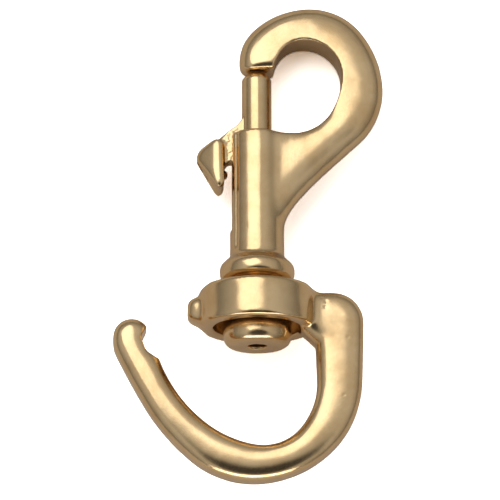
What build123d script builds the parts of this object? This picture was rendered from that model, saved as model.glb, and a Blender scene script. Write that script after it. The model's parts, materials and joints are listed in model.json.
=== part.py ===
from build123d import *
from math import asin, atan2, degrees, hypot
import os

os.makedirs("parts", exist_ok=True)

# A cold shut snap: a swivel bolt snap whose eye is an open loop, hammered shut in use.
# Each piece is modelled in the snap's own frame, in millimetres: Y runs along the swivel
# axis from the eye to the hook, with Y = 0 at the ring's lower face, X points to the side
# that the hook's arm is on, and Z is square to the flat of the snap. At the end the
# pieces are laid down together as the snap lies on a table, with +Z up.

# ---- Ring of the eye, round the stud ----
ring_r = 11.7
ring_height = 8.1
ring_edge_r = 0.8
recess_r = 8.7

# ---- Stud and its rolled-over head ----
stud_r = 5.0
stud_clearance = 0.08
stud_hole_r = 1.85
head_r = 6.8
head_seat = 3.2
head_end = -3.6
head_edge_r = 2.0
seat_edge_r = 0.6
seat_clearance = 0.3

# ---- Collar ----
collar_r = 7.5
collar_gap = 1.8
collar_bottom = ring_height + collar_gap
collar_top = collar_bottom + 4.9
collar_shoulder = 1.9
collar_lower_r = 1.4
collar_upper_r = 1.7
collar_foot_r = 0.8

# ---- Barrel, bore and slot ----
barrel_r = 5.45
barrel_top = 40.6
barrel_rim_r = 0.5
bolt_r = 3.05
bolt_clearance = 0.08
bore_r = bolt_r + bolt_clearance
bore_floor = 11.0
slot_width = 3.6
slot_bottom = 20.4

# ---- Hook: a flat-sided casting, D-shaped in section ----
hook_depth = 8.2
hook_back_flat = 1.2
hook_outer_round = round((hook_depth - hook_back_flat) / 2, 3)
hook_inner_round = 1.3
hook_eye_x = 9.4
hook_eye_y = 52.3
hook_eye_r = 7.75
hook_top_y = 67.7
hook_back_x = 25.6
arm_foot_y = 18.5
arm_foot_x = barrel_r - 0.4
nose_half_width = 3.5
nose_gap = 0.4

# ---- Bolt, its arm and the thumb piece ----
bolt_foot = 30.2
bolt_tip = 53.5
bolt_tip_r = 2.2
bolt_bevel = 1.1
bolt_edge_r = 0.3
nose_end = bolt_tip + nose_gap
slot_clearance = 0.3
arm_thickness = slot_width - 2 * slot_clearance
arm_bottom = 34.6
arm_top = 45.4
thumb_x = -9.2
thumb_width = 7.6
thumb_dish_r = 5.6
thumb_dish_depth = 0.8
gate_stub_r = 0.9

# ---- Spring under the bolt ----
spring_wire_r = 0.35
spring_clearance = 0.2
spring_coil_r = bore_r - spring_wire_r - spring_clearance
spring_turns = 9
spring_seat_gap = 0.05

# ---- Open loop of the eye, and the lug that its free end fits ----
loop_depth = 7.8
loop_round = 2.4
loop_root_x = 8.0
loop_step = 0.8
loop_top = ring_height - loop_step
lug_reach = 13.9
lug_bottom = 1.0
lug_top = 6.0
lug_depth = 7.0
lug_round = 1.6

# ---- Room left beyond a face by the tools that cut through it ----
overcut = 1.0


def arc_run(start, heading, points):
    """Adds arcs through the points, each tangent to the one before, and returns the last."""
    here = start
    for point in points:
        arc = TangentArc(here, point, tangent=heading)
        here = arc @ 1
        heading = arc % 1
    return arc


def rims(plate, depth):
    """The edges round both flat sides of a plate that is depth thick about Z = 0."""
    lower = plate.edges().filter_by_position(Axis.Z, -depth, overcut - depth / 2)
    upper = plate.edges().filter_by_position(Axis.Z, depth / 2 - overcut, depth)
    return lower + upper


# ---------------------------------------------------------------- snap body
# The hook is one flat outline: from the foot of the arm, beside the barrel, round the back
# and the top to the nose, and back round the hook's eye to the top of the barrel.
with BuildPart() as hook:
    with BuildSketch(Plane.XY.offset(-hook_depth / 2)):
        with BuildLine():
            back = arc_run(
                (arm_foot_x, arm_foot_y),
                (0, 1),
                (
                    (7.6, 26.0),
                    (13.0, 32.0),
                    (20.7, 39.2),
                    (hook_back_x, 51.5),
                    (21.5, 62.5),
                    (hook_eye_x, hook_top_y),
                    (-0.6, 63.0),
                    (-nose_half_width, nose_end + 1.6),
                ),
            )
            Line(back @ 1, (-nose_half_width, nose_end))
            Line((-nose_half_width, nose_end), (nose_half_width, nose_end))
            eye = arc_run(
                (nose_half_width, nose_end),
                (0.1, 1),
                (
                    (5.3, 58.1),
                    (hook_eye_x, hook_eye_y + hook_eye_r),
                    (hook_eye_x + hook_eye_r, hook_eye_y),
                    (14.9, 44.7),
                    (barrel_r + 0.6, barrel_top - 0.3),
                ),
            )
            Line(eye @ 1, (0, barrel_top))
            Line((0, barrel_top), (0, arm_foot_y))
            Line((0, arm_foot_y), (arm_foot_x, arm_foot_y))
        make_face()
    extrude(amount=hook_depth, clean=False)
    outside = rims(hook, hook_depth).sort_by_distance((2 * hook_back_x, hook_eye_y))
    fillet(outside[0:2], hook_outer_round)
    inside = rims(hook, hook_depth).sort_by_distance((hook_eye_x, hook_eye_y))
    fillet(inside[0:2], hook_inner_round)

# Stud, collar and barrel are turned shapes about the swivel axis.
with BuildPart() as snap_body:
    with BuildSketch(Plane.XY):
        with BuildLine():
            FilletPolyline(
                (0, head_end),
                (head_r, head_end),
                (head_r, head_seat),
                (stud_r, head_seat),
                (stud_r, collar_bottom),
                (collar_r, collar_bottom),
                (collar_r, collar_top - collar_shoulder),
                (barrel_r, collar_top),
                (barrel_r, barrel_top),
                (0, barrel_top),
                radius=(
                    head_edge_r,
                    seat_edge_r,
                    0,
                    0,
                    collar_lower_r,
                    collar_upper_r,
                    collar_foot_r,
                    barrel_rim_r,
                ),
            )
            Line((0, barrel_top), (0, head_end))
        make_face()
    revolve(axis=Axis.Y)
    add(hook.part)
    # Bore for the bolt, open at the barrel's top.
    with BuildSketch(Plane.XZ.offset(-barrel_top - overcut)):
        Circle(bore_r)
    extrude(amount=barrel_top + overcut - bore_floor, mode=Mode.SUBTRACT)
    # Hole down the middle of the stud, into the bore.
    with BuildSketch(Plane.XZ.offset(-bore_floor - overcut)):
        Circle(stud_hole_r)
    extrude(amount=bore_floor - head_end + 2 * overcut, mode=Mode.SUBTRACT)
    # Slot for the bolt's arm, open at the barrel's top.
    with BuildSketch(Plane.XY.offset(-slot_width / 2)):
        with BuildLine():
            Polyline(
                (0, barrel_top + overcut),
                (-2 * barrel_r, barrel_top + overcut),
                (-2 * barrel_r, slot_bottom),
                (0, slot_bottom),
                close=True,
            )
        make_face()
    extrude(amount=slot_width, mode=Mode.SUBTRACT)

# ---------------------------------------------------------------- bolt
# The thumb piece is a wedge across the end of the arm, with a hollow for the thumb.
with BuildPart() as thumb:
    with BuildSketch(Plane.XY.offset(-thumb_width / 2)):
        with BuildLine():
            FilletPolyline(
                (-8.2, 39.2),
                (-11.5, 37.1),
                (-12.5, 35.3),
                (-7.7, 28.1),
                (-6.6, 29.5),
                (-6.9, 38.4),
                radius=(1.4, 1.2, 1.4, 0.7, 0.5, 0.3),
                close=True,
            )
        make_face()
    extrude(amount=thumb_width)
    fillet(rims(thumb, thumb_width), 0.6)
    dish = Plane(origin=(-10.1, 31.7, 0), x_dir=(0, 0, 1), z_dir=(4.8, -7.2, 0))
    with BuildSketch(dish.offset(-2 * thumb_dish_r)):
        with Locations((0, thumb_dish_r - thumb_dish_depth)):
            Circle(thumb_dish_r)
    extrude(amount=4 * thumb_dish_r, mode=Mode.SUBTRACT)
    # What is left of the gate that the metal was poured through.
    with BuildSketch(Plane.XY.offset(-gate_stub_r)):
        with Locations((-6.8, 32.2)):
            Circle(gate_stub_r)
    extrude(amount=2 * gate_stub_r)

with BuildPart() as bolt:
    with BuildSketch(Plane.XY):
        with BuildLine():
            FilletPolyline(
                (0, bolt_foot),
                (bolt_r, bolt_foot),
                (bolt_r, bolt_tip - bolt_bevel),
                (bolt_tip_r, bolt_tip),
                (0, bolt_tip),
                radius=bolt_edge_r,
            )
            Line((0, bolt_tip), (0, bolt_foot))
        make_face()
    revolve(axis=Axis.Y)
    with BuildSketch(Plane.XY.offset(-arm_thickness / 2)):
        with BuildLine():
            flare = arc_run((-2.6, arm_top), (-0.1, -1), ((-4.6, 42.0), (-7.0, 40.2), (thumb_x, 38.6)))
            Polyline(
                flare @ 1,
                (thumb_x, arm_bottom - bolt_bevel),
                (-6.6, arm_bottom - bolt_bevel),
                (-5.8, arm_bottom),
                (-bolt_r / 2, arm_bottom),
                (-bolt_r / 2, arm_top),
                (-2.6, arm_top),
            )
        make_face()
    extrude(amount=arm_thickness)
    add(thumb.part)

# ---------------------------------------------------------------- swivel eye
# The loop leaves the ring on the arm's side, goes round and ends in a free rounded tip.
with BuildPart() as loop:
    with BuildSketch(Plane.XY.offset(-loop_depth / 2)):
        with BuildLine():
            shoulder = Line((loop_root_x, loop_top), (15.0, loop_top))
            tip = arc_run(
                shoulder @ 1,
                shoulder % 1,
                (
                    (21.1, 1.0),
                    (20.7, -11.0),
                    (14.7, -24.7),
                    (1.0, -31.1),
                    (-12.8, -26.9),
                    (-22.4, -15.8),
                    (-28.0, -5.4),
                    (-28.6, -1.6),
                    (-21.7, -0.3),
                ),
            )
            throat = Line(tip @ 1, (-19.5, -6.4))
            root = arc_run(
                throat @ 1,
                throat % 1,
                ((-10.6, -19.1), (-0.6, -23.7), (8.5, -20.2), (11.8, -10.4), (11.6, -3.4)),
            )
            Line(root @ 1, (loop_root_x, 0))
            Line((loop_root_x, 0), (loop_root_x, loop_top))
        make_face()
    extrude(amount=loop_depth, clean=False)
    fillet(rims(loop, loop_depth), loop_round)

with BuildPart() as lug:
    with BuildSketch(Plane.YZ.offset(-lug_reach)):
        with Locations(((lug_bottom + lug_top) / 2, 0)):
            RectangleRounded(lug_top - lug_bottom, lug_depth, lug_round)
    extrude(amount=lug_reach - recess_r)
    fillet(lug.edges().group_by(Axis.X)[0], lug_round)

with BuildPart() as swivel_eye:
    with BuildSketch(Plane.XY):
        with BuildLine():
            FilletPolyline(
                (0, 0),
                (ring_r, 0),
                (ring_r, ring_height),
                (0, ring_height),
                radius=ring_edge_r,
            )
            Line((0, ring_height), (0, 0))
        make_face()
    revolve(axis=Axis.Y)
    add(loop.part)
    add(lug.part)
    # Notch in the free end, which closes on the lug.
    with BuildSketch(Plane.XY.offset(-loop_depth)):
        with BuildLine():
            FilletPolyline(
                (-21.6, 0.3),
                (-23.1, -2.4),
                (-22.0, -5.3),
                (-19.8, -6.6),
                (-17.0, -3.0),
                (-19.0, 2.0),
                radius=(0.2, 0.9, 0.9, 0.3, 0.5, 0.5),
                close=True,
            )
        make_face()
    extrude(amount=2 * loop_depth, mode=Mode.SUBTRACT)
    # Bore for the stud, and the recess that its head turns in.
    with BuildSketch(Plane.XZ.offset(-ring_height - overcut)):
        Circle(stud_r + stud_clearance)
    extrude(amount=ring_height + 2 * overcut, mode=Mode.SUBTRACT)
    with BuildSketch(Plane.XZ.offset(-head_seat - seat_clearance)):
        Circle(recess_r)
    extrude(amount=head_seat + seat_clearance + overcut, mode=Mode.SUBTRACT)

# ---------------------------------------------------------------- spring
spring_foot = bore_floor + spring_seat_gap + spring_wire_r
spring_top = bolt_foot - spring_seat_gap - spring_wire_r
with BuildPart() as bolt_spring:
    with BuildLine():
        coil = Helix(
            pitch=(spring_top - spring_foot) / spring_turns,
            height=spring_top - spring_foot,
            radius=spring_coil_r,
            center=(0, spring_foot, 0),
            direction=(0, 1, 0),
        )
    with BuildSketch(Plane(origin=coil @ 0, z_dir=coil % 0)):
        Circle(spring_wire_r)
    sweep(is_frenet=True)

# ---------------------------------------------------------------- lying on the table
# The ring's rim and the back of the hook's top are what touches, so the hook end dips.
rim_drop = (ring_r - ring_edge_r) - (hook_depth / 2 - hook_outer_round)
rim_reach = (hook_top_y - hook_outer_round) - (ring_height - ring_edge_r)
round_step = hook_outer_round - ring_edge_r
dip = degrees(atan2(rim_drop, rim_reach) - asin(round_step / hypot(rim_drop, rim_reach)))

pieces = {
    "snap_body": snap_body,
    "bolt": bolt,
    "bolt_spring": bolt_spring,
    "swivel_eye": swivel_eye,
}
for piece in pieces.values():
    piece.part.move(Rotation(-dip, 0, 0))
extent = Compound([piece.part for piece in pieces.values()]).bounding_box()
footing = Location((-extent.center().X, -extent.center().Y, -extent.min.Z))
for name, piece in pieces.items():
    piece.part.move(footing)
    piece.part.label = name
    export_step(piece.part, "parts/" + name + ".step")
print("hook dips by", round(dip, 4), "degrees; swivel axis passes", footing.position)
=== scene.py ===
"""A cold shut snap in tumbled brass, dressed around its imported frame.

The snap has four real pieces: a cast body (hook, barrel, collar and stud), a cast bolt with its
thumb piece, a coil spring under the bolt and a cast swivel eye with its open loop. The castings
start from the frame's own solids, get the soft blends that a sand casting has, and then the small
marks of casting and tumbling.
"""

import json
import logging
import math
from dataclasses import dataclass, field
from enum import Enum
from typing import Callable, Sequence

import bmesh
import bpy
from mathutils import Matrix, Vector, noise


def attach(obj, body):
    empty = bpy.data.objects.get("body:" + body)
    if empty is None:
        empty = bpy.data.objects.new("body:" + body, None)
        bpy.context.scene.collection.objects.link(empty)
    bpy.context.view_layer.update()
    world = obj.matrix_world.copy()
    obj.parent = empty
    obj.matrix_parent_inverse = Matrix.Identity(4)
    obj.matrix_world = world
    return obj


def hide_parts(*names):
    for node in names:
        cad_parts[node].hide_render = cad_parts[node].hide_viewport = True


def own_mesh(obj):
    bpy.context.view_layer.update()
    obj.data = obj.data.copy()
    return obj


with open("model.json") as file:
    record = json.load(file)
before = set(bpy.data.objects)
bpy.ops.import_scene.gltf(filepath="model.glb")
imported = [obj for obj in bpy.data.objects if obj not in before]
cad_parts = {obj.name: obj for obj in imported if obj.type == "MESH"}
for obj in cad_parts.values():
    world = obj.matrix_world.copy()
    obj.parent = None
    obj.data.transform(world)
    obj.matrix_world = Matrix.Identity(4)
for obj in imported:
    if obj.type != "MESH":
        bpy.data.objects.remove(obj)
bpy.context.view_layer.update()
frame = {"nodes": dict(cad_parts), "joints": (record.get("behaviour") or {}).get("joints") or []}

log = logging.getLogger("cold_shut_snap")
MM = 0.001


class Body(Enum):
    """The moving bodies that pieces ride on."""

    BODY = "body"
    BOLT = "bolt"
    EYE = "eye"


class Slot(Enum):
    """The record's material slots."""

    CAST_BRASS = "cast_brass"
    SPRING_WIRE = "spring_wire"


# --------------------------------------------------------------------------- helpers
def linear(code: str) -> tuple[float, float, float, float]:
    """Turns an sRGB hex colour into a linear colour.

    Args:
        code: six hex digits, with or without a leading hash.

    Returns:
        Linear red, green, blue and an alpha of one.
    """
    code = code.lstrip("#")
    parts = [int(code[i : i + 2], 16) / 255 for i in (0, 2, 4)]
    lit = [c / 12.92 if c <= 0.04045 else ((c + 0.055) / 1.055) ** 2.4 for c in parts]
    return (lit[0], lit[1], lit[2], 1.0)


def add_node(tree: bpy.types.NodeTree, kind: str, settings: dict, links: dict) -> bpy.types.Node:
    """Adds one node with its settings and its incoming links.

    Args:
        tree: the node tree to add to.
        kind: the node's type name.
        settings: attribute names, or input names or numbers, with their values.
        links: input names or numbers, with the output socket that feeds each.

    Returns:
        The new node.
    """
    node = tree.nodes.new(kind)
    for name, value in settings.items():
        if isinstance(name, str) and hasattr(node, name):
            setattr(node, name, value)
        else:
            node.inputs[name].default_value = value
    for name, source in links.items():
        tree.links.new(source, node.inputs[name])
    return node


@dataclass(frozen=True)
class SnapAxes:
    """The snap's own axes inside the frame: Y along the swivel, Z square to its flat.

    Attributes:
        origin: where the swivel axis crosses the ring's lower face, in metres.
        along: unit vector along the swivel axis, from the eye to the hook.
    """

    origin: Vector
    along: Vector

    @classmethod
    def from_frame(cls) -> "SnapAxes":
        """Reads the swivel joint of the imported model."""
        joint = next(j for j in frame["joints"] if j["name"] == "eye_swivel")
        return cls(Vector(joint["pos_m"]), Vector(joint["axis"]).normalized())

    def to_frame(self) -> Matrix:
        """Matrix from the snap's millimetres to the frame's metres.

        Returns:
            The matrix.
        """
        side = Vector((1, 0, 0))
        up = side.cross(self.along)
        turn = Matrix((side, self.along, up)).transposed().to_4x4()
        return Matrix.Translation(self.origin) @ turn @ Matrix.Scale(MM, 4)

    def from_metres(self) -> Matrix:
        """Matrix from the frame's metres to the snap's millimetres."""
        return self.to_frame().inverted()


AXES = SnapAxes.from_frame()


def new_object(name: str, mesh: bpy.types.Mesh) -> bpy.types.Object:
    """Links a mesh into the scene as an object at the origin.

    Args:
        name: the object's name.
        mesh: its mesh.

    Returns:
        The new object.
    """
    made = bpy.data.objects.new(name, mesh)
    bpy.context.scene.collection.objects.link(made)
    return made


def settle(thing: bpy.types.Object) -> bpy.types.Object:
    """Turns an object's modifiers into a plain mesh.

    Args:
        thing: the object whose modifiers are applied.

    Returns:
        The same object with no modifiers.
    """
    graph = bpy.context.evaluated_depsgraph_get()
    graph.update()
    mesh = bpy.data.meshes.new_from_object(thing.evaluated_get(graph))
    old = thing.data
    thing.modifiers.clear()
    thing.data = mesh
    bpy.data.meshes.remove(old)
    return thing


def node_copy(node: str) -> bpy.types.Object:
    """Copies a CAD node into the snap's millimetres, with its loose corners merged.

    Args:
        node: the CAD node's name.

    Returns:
        A helper object in millimetres.
    """
    mesh = frame["nodes"][node].data.copy()
    mesh.materials.clear()
    mesh.transform(AXES.from_metres())
    shell = bmesh.new()
    shell.from_mesh(mesh)
    bmesh.ops.remove_doubles(shell, verts=shell.verts, dist=1e-3)
    shell.to_mesh(mesh)
    shell.free()
    return new_object(node + "_work", mesh)


Shaper = Callable[[Vector, Vector], Vector]
Weight = Callable[[Vector], float]
STILL = Vector((0.0, 0.0, 0.0))


def from_axis(place: Vector) -> Vector:
    """The part of a place that is square to the swivel axis."""
    return Vector((place.x, 0.0, place.z))


def ease(value: float, low: float, high: float) -> float:
    """Smooth step from zero at low to one at high."""
    part = min(max((value - low) / (high - low), 0.0), 1.0)
    return part * part * (3.0 - 2.0 * part)


@dataclass(frozen=True)
class Casting:
    """How a casting's mesh is made from its solid.

    Attributes:
        grain: spacing of the even mesh laid over the solid, in mm.
        soften: rounds of smoothing, which give the blends their radius.
        crown: rounds of smoothing square to the flat, which crown the bars and keep their outline.
        wave: height of the slow unevenness that tumbling leaves, in mm.
        wave_length: distance from one wave to the next, in mm.
        seed: offset that makes each casting's unevenness its own.
    """

    grain: float
    soften: int
    crown: int
    wave: float = 0.035
    wave_length: float = 5.0
    seed: float = 0.0

    def even_mesh(self, thing: bpy.types.Object) -> bpy.types.Object:
        """Lays an even mesh over the solid and softens its edges.

        Args:
            thing: the helper object, in millimetres.

        Returns:
            The same object with an even, softened mesh.
        """
        remesh = thing.modifiers.new("even", "REMESH")
        remesh.mode = "VOXEL"
        remesh.voxel_size = self.grain
        remesh.use_smooth_shade = True
        smooth = thing.modifiers.new("soften", "SMOOTH")
        smooth.factor = 0.5
        smooth.iterations = self.soften
        return settle(thing)

    def smooth_where(self, thing: bpy.types.Object, share: Weight, rounds: int, flat_only: bool) -> None:
        """Smooths part of a mesh.

        Args:
            thing: the object, in millimetres.
            share: how much each place is smoothed, from zero to one.
            rounds: rounds of smoothing.
            flat_only: moves points only square to the snap's flat, so the outline stays.
        """
        group = thing.vertex_groups.new(name="share")
        for point in thing.data.vertices:
            amount = min(max(share(point.co), 0.0), 1.0)
            if amount > 0.0:
                group.add([point.index], amount, "REPLACE")
        smooth = thing.modifiers.new("crown", "SMOOTH")
        smooth.vertex_group = "share"
        smooth.factor = 0.5
        smooth.iterations = rounds
        smooth.use_x = not flat_only
        smooth.use_y = not flat_only
        settle(thing)
        thing.vertex_groups.clear()

    def unevenness(self, place: Vector) -> float:
        """Height of the slow waves at a place, in mm."""
        spot = place / self.wave_length + Vector((self.seed, 0.0, 0.0))
        return self.wave * noise.fractal(spot, 1.0, 2.0, 2)


def reshape(thing: bpy.types.Object, shapers: Sequence[Shaper]) -> None:
    """Moves each point of a mesh by the sum of several small shapes.

    Args:
        thing: the object, in millimetres.
        shapers: functions of a place and its normal that return a move.
    """
    moves = []
    for point in thing.data.vertices:
        here, normal = point.co.copy(), point.normal.copy()
        moves.append(here + sum((shape(here, normal) for shape in shapers), STILL))
    for point, goal in zip(thing.data.vertices, moves):
        point.co = goal
    thing.data.update()


def finish_piece(thing: bpy.types.Object, name: str, look: bpy.types.Material) -> bpy.types.Object:
    """Puts a millimetre mesh in its place in the frame and gives it its finish.

    Args:
        thing: the helper object, in millimetres.
        name: the piece's name.
        look: its material.

    Returns:
        The finished object at the origin, in metres.
    """
    thing.name = name
    thing.data.name = name
    thing.data.transform(AXES.to_frame())
    thing.data.materials.clear()
    thing.data.materials.append(look)
    for face in thing.data.polygons:
        face.use_smooth = True
        face.material_index = 0
    thing.data.update()
    return thing


# --------------------------------------------------------------------------- finishes
@dataclass(frozen=True)
class TumbledBrass:
    """Cast yellow brass, tumbled in media to a soft satin, with a thin clear tarnish.

    The eye sees a pale gold metal whose reflections are blurred, fine short scratches in all
    directions, faint warmer clouds where the alloy and the tarnish vary, and tiny casting pits.

    Attributes:
        name: the material's name.
        metal: colour of the clean metal.
        tarnish: colour where it has darkened.
        rough: roughness of the tumbled skin.
        skin: height of the as-cast grain, in mm.
        grain_mm: size of the as-cast grain, in mm.
        scratch_mm: spacing of the tumbling scratches, in mm; real ones are finer.
    """

    name: str
    metal: str = "#E8CA9B"
    tarnish: str = "#D0A973"
    rough: float = 0.19
    skin: float = 0.003
    grain_mm: float = 0.5
    scratch_mm: float = 0.16

    def material(self) -> bpy.types.Material:
        """Builds the material.

        Returns:
            The finished material.
        """
        made = bpy.data.materials.new(self.name)
        made.use_nodes = True
        tree = made.node_tree
        shader = tree.nodes["Principled BSDF"]
        shader.inputs["Metallic"].default_value = 1.0
        place = add_node(tree, "ShaderNodeTexCoord", {}, {}).outputs["Object"]
        mm = add_node(tree, "ShaderNodeMapping", {"Scale": (1000, 1000, 1000)}, {"Vector": place}).outputs[0]

        clouds = add_node(
            tree, "ShaderNodeTexNoise", {"Scale": 1 / 7.0, "Detail": 4.0, "Roughness": 0.6}, {"Vector": mm}
        )
        blend = add_node(
            tree,
            "ShaderNodeMapRange",
            {"From Min": 0.42, "From Max": 0.72, "To Min": 0.0, "To Max": 0.55},
            {"Value": clouds.outputs[0]},
        )
        colour = add_node(
            tree,
            "ShaderNodeMix",
            {"data_type": "RGBA", 6: linear(self.metal), 7: linear(self.tarnish)},
            {0: blend.outputs[0]},
        )
        tree.links.new(colour.outputs[2], shader.inputs["Base Color"])

        stretch = add_node(tree, "ShaderNodeMapping", {"Scale": (1.0, 0.12, 1.0)}, {"Vector": mm})
        scratches = add_node(
            tree,
            "ShaderNodeTexNoise",
            {"Scale": 1 / self.scratch_mm, "Detail": 3.0, "Roughness": 0.7, "Distortion": 1.2},
            {"Vector": stretch.outputs[0]},
        )
        gloss = add_node(
            tree,
            "ShaderNodeMapRange",
            {"From Min": 0.3, "From Max": 0.7, "To Min": self.rough - 0.05, "To Max": self.rough + 0.07},
            {"Value": scratches.outputs[0]},
        )
        tree.links.new(gloss.outputs[0], shader.inputs["Roughness"])

        grain = add_node(
            tree,
            "ShaderNodeTexNoise",
            {"Scale": 1 / self.grain_mm, "Detail": 5.0, "Roughness": 0.55},
            {"Vector": mm},
        )
        fine = add_node(
            tree,
            "ShaderNodeBump",
            {"Strength": 0.2, "Distance": 0.003 * MM},
            {"Height": scratches.outputs[0]},
        )
        coarse = add_node(
            tree,
            "ShaderNodeBump",
            {"Strength": 1.0, "Distance": self.skin * MM},
            {"Height": grain.outputs[0], "Normal": fine.outputs[0]},
        )
        tree.links.new(coarse.outputs[0], shader.inputs["Normal"])
        return made


@dataclass(frozen=True)
class DrawnWire:
    """Phosphor bronze spring wire, drawn smooth: redder and brighter than the castings.

    Attributes:
        name: the material's name.
        metal: colour of the wire.
        rough: roughness of the drawn surface.
        line_mm: spacing of the drawing lines, in mm; real ones are finer.
    """

    name: str
    metal: str = "#C39260"
    rough: float = 0.3
    line_mm: float = 0.2

    def material(self) -> bpy.types.Material:
        """Builds the material.

        Returns:
            The finished material.
        """
        made = bpy.data.materials.new(self.name)
        made.use_nodes = True
        tree = made.node_tree
        shader = tree.nodes["Principled BSDF"]
        shader.inputs["Metallic"].default_value = 1.0
        shader.inputs["Base Color"].default_value = linear(self.metal)
        place = add_node(tree, "ShaderNodeTexCoord", {}, {}).outputs["Object"]
        mm = add_node(tree, "ShaderNodeMapping", {"Scale": (1000, 1000, 1000)}, {"Vector": place}).outputs[0]
        lines = add_node(
            tree, "ShaderNodeTexNoise", {"Scale": 1 / self.line_mm, "Detail": 2.0}, {"Vector": mm}
        )
        gloss = add_node(
            tree,
            "ShaderNodeMapRange",
            {"To Min": self.rough - 0.08, "To Max": self.rough + 0.08},
            {"Value": lines.outputs[0]},
        )
        tree.links.new(gloss.outputs[0], shader.inputs["Roughness"])
        return made


# --------------------------------------------------------------------------- pieces
def seat_casting(work: bpy.types.Object, node: str, body: Body, look: bpy.types.Material) -> bpy.types.Object:
    """Finishes a casting's skin and puts it in its solid's place.

    Args:
        work: the helper object, in millimetres.
        node: the CAD node that it stands for.
        body: the body it rides on.
        look: the finish of the castings.

    Returns:
        The finished piece.
    """
    made = finish_piece(work, node + "_skin", look)
    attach(made, body.value)
    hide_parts(node)
    return made


@dataclass
class SnapBody:
    """The cast body: hook, arm, barrel, collar and stud in one piece.

    Attributes:
        casting: how its skin is made.
        eye_middle: middle of the hook's eye, in mm.
        eye_r: radius of the hook's eye, in mm.
        barrel_r: radius of the barrel, in mm.
        barrel_foot: where the barrel rises from the collar, in mm.
        barrel_top: the barrel's top, in mm.
        nose_end: where the hook's nose ends, over the bolt's tip, in mm.
        seam_angle: where the barrel's cheek meets its front, in degrees from the front.
        seam_depth: depth of that crease, in mm.
        bore_floor: bottom of the bolt's bore, in mm.
        bore_wall: reach from the axis within which a surface is the bore's, in mm.
        running_room: how much the bore's skin gives way to the bolt's, in mm.
    """

    casting: Casting = field(default_factory=lambda: Casting(grain=0.27, soften=8, crown=340, seed=3.0))
    eye_middle: tuple[float, float] = (9.4, 52.3)
    eye_r: float = 7.75
    barrel_r: float = 5.45
    barrel_foot: float = 15.2
    barrel_top: float = 40.6
    nose_end: float = 53.9
    seam_angle: float = 52.0
    seam_depth: float = 0.34
    bore_floor: float = 11.0
    bore_wall: float = 3.6
    running_room: float = 0.07

    def crown_share(self, place: Vector) -> float:
        """Crowns the hook and arm but leaves the eye's edge crisp and the barrel round.

        Args:
            place: a point of the mesh, in the snap's millimetres.

        Returns:
            The share of smoothing there, from zero to one.
        """
        reach = math.hypot(place.x - self.eye_middle[0], place.y - self.eye_middle[1])
        off_edge = ease(reach, self.eye_r + 0.4, self.eye_r + 2.6)
        off_barrel = ease(place.x, self.barrel_r - 2.0, self.barrel_r + 1.0)
        above = ease(place.y, self.barrel_top + 13.5, self.barrel_top + 15.0)
        return off_edge * max(off_barrel, above)

    def valley_share(self, place: Vector) -> float:
        """Blends the arm into the barrel with a soft valley.

        Args:
            place: a point of the mesh, in the snap's millimetres.

        Returns:
            The share of smoothing there, from zero to one.
        """
        beside = 1.0 - ease(abs(place.x - self.barrel_r + 1.0), 1.2, 2.6)
        under_rim = 1.0 - ease(place.y, self.barrel_top - 1.5, self.barrel_top + 0.5)
        along = ease(place.y, 17.0, 19.0) * under_rim
        return beside * along

    def skin(self, place: Vector, normal: Vector) -> Vector:
        """Unevenness outside; inside the drilled bore, a true wall with room for the bolt's skin.

        Args:
            place: a point of the mesh, in the snap's millimetres.
            normal: the surface's normal there.

        Returns:
            How far the point moves, in mm.
        """
        reach = from_axis(place)
        in_bore = self.bore_floor - 0.3 < place.y < self.barrel_top + 0.3
        if in_bore and reach.length < self.bore_wall:
            return reach.normalized() * self.running_room
        return normal * self.casting.unevenness(place)

    def nose_share(self, place: Vector) -> float:
        """Rounds the nose over the bolt's tip.

        Args:
            place: a point of the mesh, in the snap's millimetres.

        Returns:
            The share of smoothing there, from zero to one.
        """
        return (1.0 - ease(place.y, self.nose_end + 1.2, self.nose_end + 2.6)) * ease(
            place.y, self.nose_end - 1.0, self.nose_end - 0.5
        ) * (1.0 - ease(abs(place.x), 4.2, 5.0))

    def seam(self, place: Vector, normal: Vector) -> Vector:
        """The crease along the barrel's left cheek.

        Args:
            place: a point of the mesh, in the snap's millimetres.
            normal: the surface's normal there.

        Returns:
            How far the point moves, in mm.
        """
        if not self.barrel_foot < place.y < self.barrel_top or place.x > 0:
            return STILL
        around = math.degrees(math.atan2(-place.x, abs(place.z)))
        reach = math.hypot(place.x, place.z)
        if abs(reach - self.barrel_r) > 0.6:
            return STILL
        fade = ease(place.y, self.barrel_foot, self.barrel_foot + 1.5)
        dent = math.exp(-(((around - self.seam_angle) / 4.0) ** 2))
        return normal * (-self.seam_depth * dent * fade)

    def build(self, look: bpy.types.Material) -> bpy.types.Object:
        """Builds the body's skin over its solid.

        Args:
            look: the finish of the castings.

        Returns:
            The finished piece.
        """
        work = self.casting.even_mesh(node_copy("snap_body"))
        self.casting.smooth_where(work, self.crown_share, self.casting.crown, True)
        self.casting.smooth_where(work, self.valley_share, 60, False)
        self.casting.smooth_where(work, self.nose_share, 26, False)
        reshape(work, [self.skin, self.seam])
        return seat_casting(work, "snap_body", Body.BODY, look)


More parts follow.
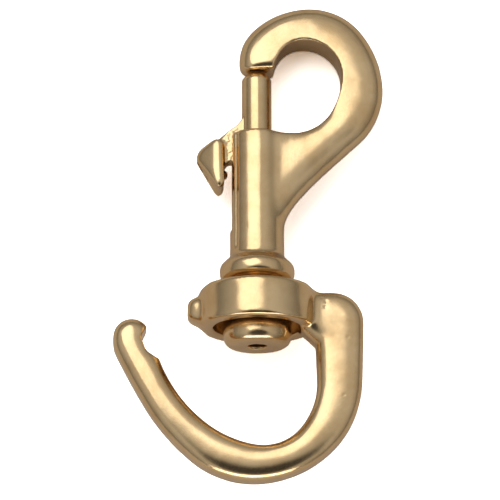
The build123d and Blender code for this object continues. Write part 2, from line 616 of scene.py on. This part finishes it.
@dataclass
class Bolt:
    """The cast bolt: plunger, arm and dished thumb piece.

    Attributes:
        casting: how its skin is made.
        thumb_right: where the thumb piece ends and the web begins, in mm.
        ridge_x: where the thumb piece's ridge runs at its top, in mm.
        facet_slope: how steeply the left facet falls away from the ridge.
        plunger_wall: reach from the axis within which a surface is the plunger's, in mm.
        running_room: how much the plunger's skin gives way to the bore's, in mm.
    """

    casting: Casting = field(
        default_factory=lambda: Casting(grain=0.16, soften=8, crown=90, wave=0.02, seed=11.0)
    )
    thumb_right: float = -6.4
    ridge_x: float = -8.6
    facet_slope: float = 0.62
    plunger_wall: float = 3.2
    running_room: float = 0.03

    def skin(self, place: Vector, normal: Vector) -> Vector:
        """A turned plunger, true and a hair under size; the rest is uneven as it was cast.

        Args:
            place: a point of the mesh, in the snap's millimetres.
            normal: the surface's normal there.

        Returns:
            How far the point moves, in mm.
        """
        reach = from_axis(place)
        if reach.length < self.plunger_wall:
            return -reach.normalized() * self.running_room if reach.length > 1e-6 else STILL
        return normal * self.casting.unevenness(place)

    def thumb_share(self, place: Vector) -> float:
        """Softens the thumb piece far more than the plunger."""
        return 1.0 - ease(place.x, self.thumb_right - 0.6, self.thumb_right + 0.6)

    def facet(self, place: Vector, normal: Vector) -> Vector:
        """Lets the thumb piece fall away to the left of its ridge.

        Args:
            place: a point of the mesh, in the snap's millimetres.
            normal: the surface's normal there.

        Returns:
            How far the point moves, in mm.
        """
        if place.x > self.ridge_x or abs(place.z) < 1.0:
            return STILL
        fall = self.facet_slope * (self.ridge_x - place.x) * ease(abs(place.z), 1.0, 3.4)
        return Vector((0, 0, -math.copysign(fall, place.z)))

    def web(self, place: Vector, normal: Vector) -> Vector:
        """Leaves the web between thumb piece and barrel as rough as the sand left it.

        Args:
            place: a point of the mesh, in the snap's millimetres.
            normal: the surface's normal there.

        Returns:
            How far the point moves, in mm.
        """
        inside = ease(place.x, self.thumb_right - 0.3, self.thumb_right + 0.3) * (
            1.0 - ease(place.x, -4.2, -3.4)
        )
        rough = noise.fractal(place / 0.4, 0.9, 2.1, 3)
        return normal * (0.07 * rough * inside)

    def build(self, look: bpy.types.Material) -> bpy.types.Object:
        """Builds the bolt's skin over its solid.

        Args:
            look: the finish of the castings.

        Returns:
            The finished piece.
        """
        work = self.casting.even_mesh(node_copy("bolt"))
        reshape(work, [self.facet])
        self.casting.smooth_where(work, self.thumb_share, self.casting.crown, False)
        reshape(work, [self.skin, self.web])
        return seat_casting(work, "bolt", Body.BOLT, look)


@dataclass
class SwivelEye:
    """The cast eye: ring, lug, arm and open loop with its notched tip.

    Attributes:
        casting: how its skin is made.
        ring_r: radius of the ring, in mm.
        ring_height: height of the ring along the swivel axis, in mm.
        pit_places: where casting pits lie and how wide they are, in mm.
    """

    casting: Casting = field(default_factory=lambda: Casting(grain=0.27, soften=8, crown=200, seed=23.0))
    ring_r: float = 11.7
    ring_height: float = 8.1
    pit_places: tuple[tuple[float, float, float], ...] = (
        (13.4, 4.9, 0.32),
        (13.3, 3.7, 0.30),
        (12.6, 5.6, 0.26),
        (17.8, -2.4, 0.24),
        (19.0, -8.1, 0.26),
        (16.9, -14.2, 0.22),
    )

    def crown_share(self, place: Vector) -> float:
        """Crowns the loop and arm but leaves the ring round.

        Args:
            place: a point of the mesh, in the snap's millimetres.

        Returns:
            The share of smoothing there, from zero to one.
        """
        below = 1.0 - ease(place.y, -3.0, -0.5)
        beside = ease(abs(place.x), self.ring_r + 0.2, self.ring_r + 2.4)
        return max(below, beside)

    def root_share(self, place: Vector) -> float:
        """Blends the arm and the lug into the ring.

        Args:
            place: a point of the mesh, in the snap's millimetres.

        Returns:
            The share of smoothing there, from zero to one.
        """
        beside = 1.0 - ease(abs(abs(place.x) - self.ring_r - 0.2), 1.2, 2.4)
        off_face = ease(abs(place.y - self.ring_height / 2), 6.5, 5.5)
        return beside * off_face

    def pits(self, place: Vector, normal: Vector) -> Vector:
        """Small gas pits that the casting kept at the arm's corner and along the loop.

        Args:
            place: a point of the mesh, in the snap's millimetres.
            normal: the surface's normal there.

        Returns:
            How far the point moves, in mm.
        """
        depth = 0.0
        for x, y, size in self.pit_places:
            away = (place.x - x) ** 2 + (place.y - y) ** 2
            if away < 4 * size * size:
                depth += 0.45 * size * math.exp(-away / (size * size * 0.5))
        return normal * (-depth)

    def build(self, look: bpy.types.Material) -> bpy.types.Object:
        """Builds the eye's skin over its solid.

        Args:
            look: the finish of the castings.

        Returns:
            The finished piece.
        """
        work = self.casting.even_mesh(node_copy("swivel_eye"))
        self.casting.smooth_where(work, self.crown_share, self.casting.crown, True)
        self.casting.smooth_where(work, self.root_share, 70, False)
        reshape(work, [lambda p, n: n * self.casting.unevenness(p), self.pits])
        return seat_casting(work, "swivel_eye", Body.EYE, look)


@dataclass(frozen=True)
class BoltSpring:
    """The coil spring under the bolt, drawn round wire.

    Attributes:
        wire_r: radius of the wire, in mm.
        coil_r: radius of the coil, to the wire's middle, in mm.
        foot: middle of the wire at the bore's floor, in mm.
        top: middle of the wire under the bolt, in mm.
        turns: number of turns.
    """

    wire_r: float = 0.35
    coil_r: float = 2.58
    foot: float = 11.4
    top: float = 29.8
    turns: int = 9

    def sizes(self) -> dict[str, float]:
        """The coil's sizes, by the name of the input that each goes to.

        Returns:
            Input names with their values.
        """
        return {
            "Turns": float(self.turns),
            "Coil radius": self.coil_r,
            "Height": self.top - self.foot,
            "Wire radius": self.wire_r,
        }

    def coil_tree(self, look: bpy.types.Material) -> bpy.types.NodeTree:
        """Node group that sweeps a wire along a spiral.

        Args:
            look: the finish of the wire.

        Returns:
            The node group, with the coil's sizes as its inputs.
        """
        tree = bpy.data.node_groups.new("wire_coil", "GeometryNodeTree")
        for name in self.sizes():
            tree.interface.new_socket(name, in_out="INPUT", socket_type="NodeSocketFloat")
        tree.interface.new_socket("Geometry", in_out="OUTPUT", socket_type="NodeSocketGeometry")
        given = tree.nodes.new("NodeGroupInput").outputs
        spiral = add_node(
            tree,
            "GeometryNodeCurveSpiral",
            {"Resolution": 40},
            {
                "Rotations": given["Turns"],
                "Start Radius": given["Coil radius"],
                "End Radius": given["Coil radius"],
                "Height": given["Height"],
            },
        )
        section = add_node(
            tree, "GeometryNodeCurvePrimitiveCircle", {"Resolution": 12}, {"Radius": given["Wire radius"]}
        )
        wire = add_node(
            tree,
            "GeometryNodeCurveToMesh",
            {"Fill Caps": True},
            {"Curve": spiral.outputs[0], "Profile Curve": section.outputs[0]},
        )
        whole = add_node(tree, "GeometryNodeRealizeInstances", {}, {"Geometry": wire.outputs[0]})
        dressed = add_node(
            tree, "GeometryNodeSetMaterial", {"Material": look}, {"Geometry": whole.outputs[0]}
        )
        tree.links.new(dressed.outputs[0], tree.nodes.new("NodeGroupOutput").inputs[0])
        return tree

    def build(self, look: bpy.types.Material) -> bpy.types.Object:
        """Builds the spring in the place of its solid.

        Args:
            look: the finish of the wire.

        Returns:
            The finished piece.
        """
        work = new_object("bolt_spring_work", bpy.data.meshes.new("bolt_spring_work"))
        coil = work.modifiers.new("coil", "NODES")
        coil.node_group = self.coil_tree(look)
        for socket in coil.node_group.interface.items_tree:
            if socket.in_out == "INPUT":
                coil[socket.identifier] = self.sizes()[socket.name]
        settle(work)
        stand = Matrix.Translation((0, self.foot, 0)) @ Matrix.Rotation(math.radians(-90), 4, "X")
        work.data.transform(stand)
        made = finish_piece(work, "bolt_spring_wire", look)
        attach(made, Body.BODY.value)
        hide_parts("bolt_spring")
        seat = AXES.to_frame() @ Vector((0, self.foot - self.wire_r, 0))
        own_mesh(made)
        return made


# --------------------------------------------------------------------------- studio
@dataclass(frozen=True)
class Softbox:
    """One soft lamp.

    Attributes:
        name: the lamp's name.
        place: its middle, in metres.
        aim: the point it faces, in metres.
        size: its width and height, in metres.
        power: its power, in watts.
    """

    name: str
    place: tuple[float, float, float]
    aim: tuple[float, float, float]
    size: tuple[float, float]
    power: float

    def hang(self) -> None:
        """Adds the lamp."""
        data = bpy.data.lights.new(self.name, "AREA")
        data.shape = "RECTANGLE"
        data.size, data.size_y = self.size
        data.energy = self.power
        lamp = bpy.data.objects.new(self.name, data)
        bpy.context.scene.collection.objects.link(lamp)
        lamp.location = self.place
        lamp.rotation_euler = (Vector(self.aim) - Vector(self.place)).to_track_quat("-Z", "Y").to_euler()


@dataclass
class Studio:
    """A pale table, soft lamps and a camera that looks down on the snap."""

    tilt: float = 9.36
    swing: float = 2.16
    roll: float = -0.15
    distance: float = 0.658
    target: tuple[float, float, float] = (0.00011, -0.00166, 0.010)
    scale_px_per_mm: float = 4.997
    floor_gain: float = 4.4
    floor_in_metal: str = "#E6DCD2"
    room_level: float = 0.56
    room_dark: float = 0.05
    horizon_level: float = 0.3
    dark_toward: tuple[float, float, float] = (0.05, -0.42, 0.906)
    dark_edge: float = 0.78
    dark_core: float = 0.93
    lamps: tuple[Softbox, ...] = (
        Softbox("key_softbox", (-0.20, 0.36, 0.60), (0, 0, 0), (0.56, 0.50), 1.15),
        Softbox("low_softbox", (0.0, -0.80, 0.22), (0, 0, 0.01), (0.9, 0.30), 2.4),
    )

    def camera(self) -> None:
        """Stands the camera over the snap, from the eye's end and a little to its left."""
        turn = (
            Matrix.Rotation(math.radians(self.roll), 3, "Z")
            @ Matrix.Rotation(math.radians(-self.tilt), 3, "X")
            @ Matrix.Rotation(math.radians(self.swing), 3, "Y")
        ).transposed()
        data = bpy.data.cameras.new("camera")
        data.sensor_width = 36.0
        data.lens = self.scale_px_per_mm * self.distance * 1000 * data.sensor_width / 500
        data.clip_start = 0.01
        made = bpy.data.objects.new("camera", data)
        bpy.context.scene.collection.objects.link(made)
        back = turn @ Vector((0, 0, self.distance))
        made.matrix_world = Matrix.Translation(Vector(self.target) + back) @ turn.to_4x4()
        bpy.context.scene.camera = made

    def floor(self) -> None:
        """Lays the pale table top."""
        bpy.ops.mesh.primitive_plane_add(size=6.0)
        table = bpy.context.active_object
        table.name = "table_top"
        paint = bpy.data.materials.new("matt_white_board")
        paint.use_nodes = True
        shader = paint.node_tree.nodes["Principled BSDF"]
        shader.inputs["Roughness"].default_value = 0.9
        shader.inputs["Specular IOR Level"].default_value = 0.1
        tree = paint.node_tree
        ray = add_node(tree, "ShaderNodeLightPath", {}, {})
        board = add_node(
            tree,
            "ShaderNodeMix",
            {
                "data_type": "RGBA",
                6: linear(self.floor_in_metal),
                7: (self.floor_gain, self.floor_gain, self.floor_gain, 1.0),
            },
            {0: ray.outputs["Is Camera Ray"]},
        )
        tree.links.new(board.outputs[2], shader.inputs["Base Color"])
        table.data.materials.append(paint)

    def world(self) -> None:
        """A white surround for the camera, and for the metal a room that is dark round the camera."""
        room = bpy.data.worlds.new("studio_room")
        bpy.context.scene.world = room
        room.use_nodes = True
        tree = room.node_tree
        ground = tree.nodes["Background"]
        ray = add_node(tree, "ShaderNodeLightPath", {}, {})
        toward = add_node(tree, "ShaderNodeTexCoord", {}, {}).outputs["Generated"]
        nearness = add_node(
            tree, "ShaderNodeVectorMath", {"operation": "DOT_PRODUCT", 1: self.dark_toward}, {0: toward}
        )
        shadow = add_node(
            tree,
            "ShaderNodeMapRange",
            {"interpolation_type": "SMOOTHSTEP", "From Min": self.dark_edge, "From Max": self.dark_core},
            {"Value": nearness.outputs["Value"]},
        )
        height = add_node(tree, "ShaderNodeSeparateXYZ", {}, {0: toward})
        sky = add_node(
            tree,
            "ShaderNodeMapRange",
            {"From Min": 0.0, "From Max": 0.8, "To Min": self.horizon_level, "To Max": 1.0},
            {"Value": height.outputs["Z"]},
        )
        level = add_node(
            tree,
            "ShaderNodeMapRange",
            {"To Min": self.room_level, "To Max": self.room_dark},
            {"Value": shadow.outputs[0]},
        )
        lit = add_node(
            tree, "ShaderNodeMath", {"operation": "MULTIPLY"}, {0: sky.outputs[0], 1: level.outputs[0]}
        )
        shade = add_node(
            tree,
            "ShaderNodeMix",
            {"data_type": "RGBA", 7: (1.0, 1.0, 1.0, 1.0)},
            {0: ray.outputs["Is Camera Ray"], 6: lit.outputs[0]},
        )
        tree.links.new(shade.outputs[2], ground.inputs["Color"])
        ground.inputs["Strength"].default_value = 1.0

    def build(self) -> None:
        """Sets up camera, floor, lamps and world."""
        bpy.context.scene.view_settings.view_transform = "Standard"
        self.camera()
        self.floor()
        self.world()
        for lamp in self.lamps:
            lamp.hang()


def main() -> None:
    """Builds the snap's pieces and the studio round them."""
    logging.basicConfig(level=logging.INFO, format="%(name)s: %(message)s")
    Studio().build()
    brass = TumbledBrass("tumbled_cast_brass").material()
    wire = DrawnWire("drawn_bronze_wire").material()
    for piece in (SnapBody(), Bolt(), SwivelEye()):
        made = piece.build(brass)
        log.info("%s: %d faces", made.name, len(made.data.polygons))
    coil = BoltSpring().build(wire)
    log.info("%s: %d faces", coil.name, len(coil.data.polygons))


if __name__ == "__main__":
    main()
